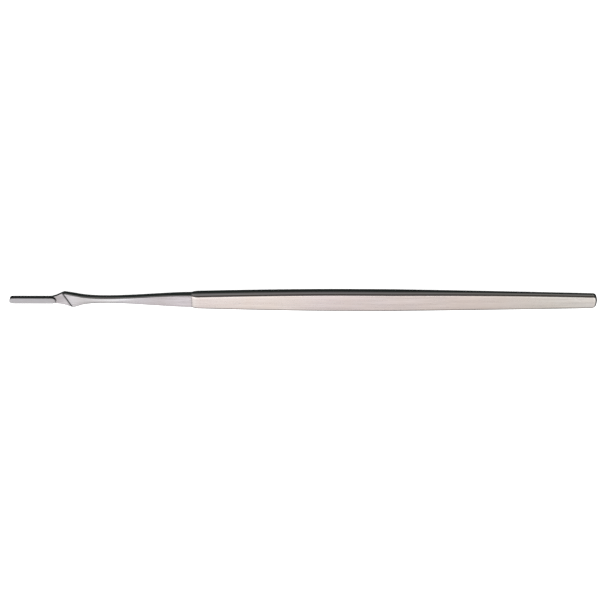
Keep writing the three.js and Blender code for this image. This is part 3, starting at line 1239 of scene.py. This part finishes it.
@dataclass
class BladeStud:
    """The oblong stud, with a groove under its lip. Its size comes from its node."""

    groove_height: float = 0.4
    groove_depth: float = 0.36
    lip_rounding: float = 0.15
    under_rounding: float = 0.06
    flat_margin: float = 0.25
    path_points: int = 96
    rounding_steps: int = 4

    def build(self, steel: bpy.types.Material) -> bpy.types.Object:
        """Builds the stud.

        Args:
            steel: Its finish.

        Returns:
            The piece.
        """
        low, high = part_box("blade_stud")
        box = high - low
        sizes = {"Length": box.x, "Width": box.y, "Groove depth": self.groove_depth * MM}
        rule = SizedRule("Section swept round the stud", sizes, steel)
        graph, size = rule.graph, rule.sizes
        foot_radius = size["Width"] / 2.0 - size["Groove depth"]
        feeds = {"Resolution": self.path_points, "Radius": foot_radius}
        circle = graph.add("GeometryNodeCurvePrimitiveCircle", feeds)
        x, _, _ = graph.split(graph.add("GeometryNodeInputPosition").outputs[0])
        shift = (x.over(0.0) - 0.5) * (size["Length"] - size["Width"])
        half_step = math.pi / self.path_points
        feeds = {"Geometry": circle.outputs[0], "Rotation": (0, 0, half_step)}
        turned = graph.add("GeometryNodeTransform", feeds)
        feeds = {"Geometry": turned.outputs[0], "Offset": graph.join(shift, 0.0, 0.0)}
        path = graph.add("GeometryNodeSetPosition", feeds)
        section = graph.add("GeometryNodeMeshToCurve", {"Mesh": rule.source})
        feeds = {"Curve": path.outputs[0], "Profile Curve": section.outputs[0]}
        swept = graph.add("GeometryNodeCurveToMesh", feeds)
        rule.close(swept.outputs[0])

        start = bpy.data.objects.new("stud_section", self.section(box))
        bpy.context.scene.collection.objects.link(start)
        mesh = rule.run(start)
        bpy.data.objects.remove(start)
        middle = (low + high) / 2
        mesh.transform(Matrix.Translation((middle.x, middle.y, low.z)))
        face_outwards(mesh)
        return piece("blade_stud_oblong", mesh, "blade_stud")

    def section(self, box: Vector) -> bpy.types.Mesh:
        """Draws half of the stud's section, from its axis under the foot to its axis on top.

        Args:
            box: The stud's length, width and height, in metres.

        Returns:
            A mesh of the section's edges, with x outwards from the foot and y down, as the sweep takes it.
        """
        groove, depth, soft, under = (
            size * MM
            for size in (self.groove_height, self.groove_depth, self.lip_rounding, self.under_rounding)
        )
        axis, top = depth - box.y / 2, box.z
        points = [(axis, 0.0), (0.0, 0.0), (0.0, groove)]
        for radius, centre_y, start in ((under, groove + under, -QUARTER_TURN), (soft, top - soft, 0.0)):
            for step in range(self.rounding_steps + 1):
                angle = start + QUARTER_TURN * step / self.rounding_steps
                x = depth - radius + radius * math.cos(angle)
                points.append((x, centre_y + radius * math.sin(angle)))
        flat_from = depth - soft - soft * self.flat_margin
        points.extend([(flat_from, top), (axis / 2, top), (axis, top)])
        mesh = bpy.data.meshes.new("stud_section")
        corners = [(x, -y, 0.0) for x, y in points]
        mesh.from_pydata(corners, [(i, i + 1) for i in range(len(corners) - 1)], [])
        return mesh


@dataclass
class Studio:
    """The pale floor, the soft light around the handle and the camera.

    Attributes:
        elevation: How high the camera stands over the wide faces, in degrees.
        roll: How far the camera is turned about its own axis, in degrees.
        distance: How far the camera is from what it looks at, in metres.
        lens: Its focal length, in millimetres.
        aim: Where it looks, in millimetres from the middle of the handle.
        glows: What polished steel mirrors round the handle's long axis: degrees up from the +Y horizon over
            the top, each with its colour.
        ends: How bright that is along the handle's axis: place from -X (0) to +X (1) with its colour.
        floor_size: The length of the floor's sides, in metres.
        floor_glow: How much light the floor gives out.
        floor_grey: How light its grey is.
        floor_roughness: How rough it is.
        clip_start: How near the camera still sees, in metres.
    """

    elevation: float = 48.0
    roll: float = 180.17
    distance: float = 0.596
    lens: float = 100.0
    aim: tuple[float, float] = (1.087, 0.035)
    floor_size: float = 6.0
    floor_glow: float = 0.85
    floor_grey: float = 0.9
    floor_roughness: float = 0.9
    clip_start: float = 0.01
    glows: tuple[tuple[float, Colour], ...] = (
        (0, (0.27, 0.27, 0.27)),
        (14, (0.26, 0.25, 0.25)),
        (25, (0.38, 0.37, 0.37)),
        (37, (0.73, 0.71, 0.71)),
        (48, (1.00, 0.97, 0.97)),
        (57, (1.26, 1.24, 1.24)),
        (64, (1.62, 1.61, 1.61)),
        (71, (1.50, 1.49, 1.49)),
        (77, (1.00, 0.99, 0.99)),
        (86, (0.35, 0.34, 0.34)),
        (96, (0.12, 0.11, 0.11)),
        (120, (0.08, 0.07, 0.065)),
        (146, (0.06, 0.05, 0.045)),
        (158, (0.10, 0.10, 0.10)),
        (180, (0.32, 0.32, 0.32)),
        (202, (0.30, 0.30, 0.30)),
        (214, (0.22, 0.22, 0.22)),
        (222.5, (0.22, 0.22, 0.22)),
        (227.3, (0.020, 0.026, 0.024)),
        (262, (0.012, 0.016, 0.015)),
        (290, (0.10, 0.10, 0.10)),
        (305, (0.45, 0.44, 0.44)),
        (340, (0.45, 0.44, 0.44)),
    )
    ends: tuple[tuple[float, Colour], ...] = (
        (0.0, (0.10, 0.10, 0.10)),
        (0.18, (0.14, 0.14, 0.14)),
        (0.27, (1.18, 1.18, 1.18)),
        (0.33, (1.25, 1.25, 1.25)),
        (0.40, (0.80, 0.79, 0.77)),
        (0.50, (0.84, 0.81, 0.82)),
        (0.56, (1.0, 0.96, 0.95)),
        (0.62, (0.92, 0.91, 0.92)),
        (0.70, (1.15, 1.15, 1.15)),
        (0.86, (1.20, 1.20, 1.20)),
        (1.0, (0.90, 0.90, 0.90)),
    )

    def build(self) -> None:
        """Builds the floor, the light and the camera."""
        low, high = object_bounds()
        self.lay_floor(low)
        self.light_room()
        self.place_camera((low + high) / 2)

    def lay_floor(self, low: Vector) -> None:
        """Lays the floor just under the handle.

        Args:
            low: The handle's lowest corner, in metres.
        """
        half = self.floor_size / 2
        corners = [(x, y, low.z) for x, y in ((-half, -half), (half, -half), (half, half), (-half, half))]
        mesh = bpy.data.meshes.new("floor")
        mesh.from_pydata(corners, [], [(0, 1, 2, 3)])
        material = bpy.data.materials.new("pale_floor")
        material.use_nodes = True
        paint = material.node_tree.nodes["Principled BSDF"]
        for name, value in (
            ("Base Color", (self.floor_grey, self.floor_grey, self.floor_grey, 1.0)),
            ("Roughness", self.floor_roughness),
            ("Emission Color", (1.0, 1.0, 1.0, 1.0)),
            ("Emission Strength", self.floor_glow),
        ):
            paint.inputs[name].default_value = value
        mesh.materials.append(material)
        floor = bpy.data.objects.new("floor", mesh)
        bpy.context.scene.collection.objects.link(floor)
        floor.visible_glossy = False
        floor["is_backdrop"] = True

    def light_room(self) -> None:
        """Lights the room: white all round, with what the steel mirrors set by direction."""
        world = bpy.data.worlds.new("studio")
        world.use_nodes = True
        world.cycles.sampling_method = "NONE"
        world.node_tree.nodes.clear()
        graph = Graph(world.node_tree)
        x, y, z = graph.split(graph.add("ShaderNodeTexCoord").outputs["Generated"])
        turn = graph.math("ARCTAN2", z, y) / math.tau
        turn = graph.math("FRACT", turn + 1.0)
        around = graph.add("ShaderNodeValToRGB", {"Fac": turn})
        closed = [*self.glows, (360, self.glows[0][1])]
        fill_ramp(around.color_ramp, [(degrees / 360, colour) for degrees, colour in closed])
        # a direction's x goes from -1 to 1
        along = graph.add("ShaderNodeValToRGB", {"Fac": x.between(-1.0, 2.0)})
        fill_ramp(along.color_ramp, self.ends)
        mirrored = graph.add("ShaderNodeMix", data_type="RGBA", blend_type="MULTIPLY")
        mirrored.inputs[0].default_value = 1.0
        graph.tree.links.new(around.outputs[0], mirrored.inputs[6])
        graph.tree.links.new(along.outputs[0], mirrored.inputs[7])
        seen = graph.add("ShaderNodeMix", data_type="RGBA")
        glossy = graph.add("ShaderNodeLightPath").outputs["Is Glossy Ray"]
        graph.tree.links.new(glossy, seen.inputs[0])
        seen.inputs[6].default_value = (1.0, 1.0, 1.0, 1.0)
        graph.tree.links.new(mirrored.outputs[2], seen.inputs[7])
        sky = graph.add("ShaderNodeBackground", {"Color": seen.outputs[2], "Strength": 1.0})
        graph.add("ShaderNodeOutputWorld", {"Surface": sky.outputs[0]})
        bpy.context.scene.world = world
        bpy.context.scene.view_settings.view_transform = "Standard"

    def place_camera(self, middle: Vector) -> None:
        """Places the camera.

        Args:
            middle: The middle of the handle, in metres.
        """
        angle = math.radians(self.elevation)
        back = Vector((0.0, -math.cos(angle), math.sin(angle)))
        up = Vector((0.0, math.sin(angle), math.cos(angle)))
        right = up.cross(back)
        axes = Matrix((right, up, back)).transposed().to_4x4()
        target = middle + (right * self.aim[0] + up * self.aim[1]) * MM
        turn = Matrix.Rotation(math.radians(self.roll), 4, "Z")
        data = bpy.data.cameras.new("camera")
        data.lens = self.lens
        data.clip_start = self.clip_start
        camera = bpy.data.objects.new("camera", data)
        camera.matrix_world = Matrix.Translation(target + back * self.distance) @ axes @ turn
        bpy.context.scene.collection.objects.link(camera)
        bpy.context.scene.camera = camera


SATIN_FACE = SteelFinish(
    name="satin_face_steel",
    # the steel's tone along the grip, with painted reflection: its warmer, mauve and brighter stops stand in
    # for the mirrored light along it
    tints=(
        (0.0, (0.82, 0.80, 0.77)),
        (0.07, (0.81, 0.79, 0.75)),
        (0.20, (0.83, 0.76, 0.725)),
        (0.46, (0.90, 0.83, 0.825)),
        (0.53, (0.97, 0.91, 0.87)),
        (0.60, (0.98, 0.92, 0.88)),
        (0.69, (0.97, 0.91, 0.885)),
        (1.0, (0.84, 0.81, 0.81)),
    ),
    shade=0.24,
    roughness=0.26,
    roughness_swing=0.12,
    streak_length=22.0,
    streak_width=0.9,
    fineness=3.0,
    relief=0.0014,
    haze=0.05,
    dents=(((-17.0, 0.6, 1.8), 0.5), ((-137.2, -1.9, 1.15), 0.55), ((-138.6, -1.0, 1.1), 0.4)),
)
POLISHED_SIDE = SteelFinish(
    name="polished_side_steel",
    tints=((0.0, (0.80, 0.80, 0.78)), (0.5, (0.82, 0.81, 0.81)), (1.0, (0.80, 0.81, 0.82))),
    shade=0.06,
    roughness=0.06,
    roughness_swing=0.03,
    streak_length=20.0,
    streak_width=0.5,
    fineness=4.0,
    relief=0.0003,
    haze=0.03,
    # how dark the painted shade deep in the crevices is
    grime=0.88,
)
NECK_FACE = SteelFinish(
    name="neck_face_steel",
    # the steel's tone along the neck, with painted reflection: its brighter and darker stops stand in for the
    # mirrored light on the waist, the shoulder's face and the tang
    tints=(
        (0.0, (0.76, 0.74, 0.76)),
        (0.72, (0.80, 0.775, 0.81)),
        (0.77, (0.75, 0.745, 0.79)),
        (0.825, (0.85, 0.88, 0.915)),
        (0.869, (0.73, 0.745, 0.775)),
        (0.892, (0.84, 0.85, 0.885)),
        (0.914, (0.68, 0.67, 0.70)),
        (1.0, (0.70, 0.69, 0.71)),
    ),
    shade=0.40,
    roughness=0.24,
    roughness_swing=0.14,
    streak_length=12.0,
    streak_width=0.8,
    fineness=3.0,
    relief=0.0016,
    haze=0.06,
    # how dark the painted shade deep in the crevices is
    grime=0.95,
)
STUD_STEEL = SteelFinish(
    name="machined_stud_steel",
    tints=((0.0, (0.58, 0.59, 0.62)), (1.0, (0.58, 0.59, 0.62))),
    shade=0.16,
    roughness=0.3,
    roughness_swing=0.1,
    streak_length=4.0,
    streak_width=0.5,
    fineness=4.0,
    relief=0.001,
    haze=0.08,
)


def main() -> None:
    """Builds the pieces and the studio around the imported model."""
    logging.basicConfig(level=logging.INFO, format="%(message)s")
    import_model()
    grip_low, grip_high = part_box("grip")
    seam = Vector((grip_high.x, (grip_low.y + grip_high.y) / 2, (grip_low.z + grip_high.z) / 2))
    polished = POLISHED_SIDE.material(seam)
    Grip().build(SATIN_FACE.material(seam), polished, seam)
    BladeHolder().build(NECK_FACE.material(seam), polished, seam)
    BladeStud().build(STUD_STEEL.material(seam))
    Studio().build()


if __name__ == "__main__":
    main()
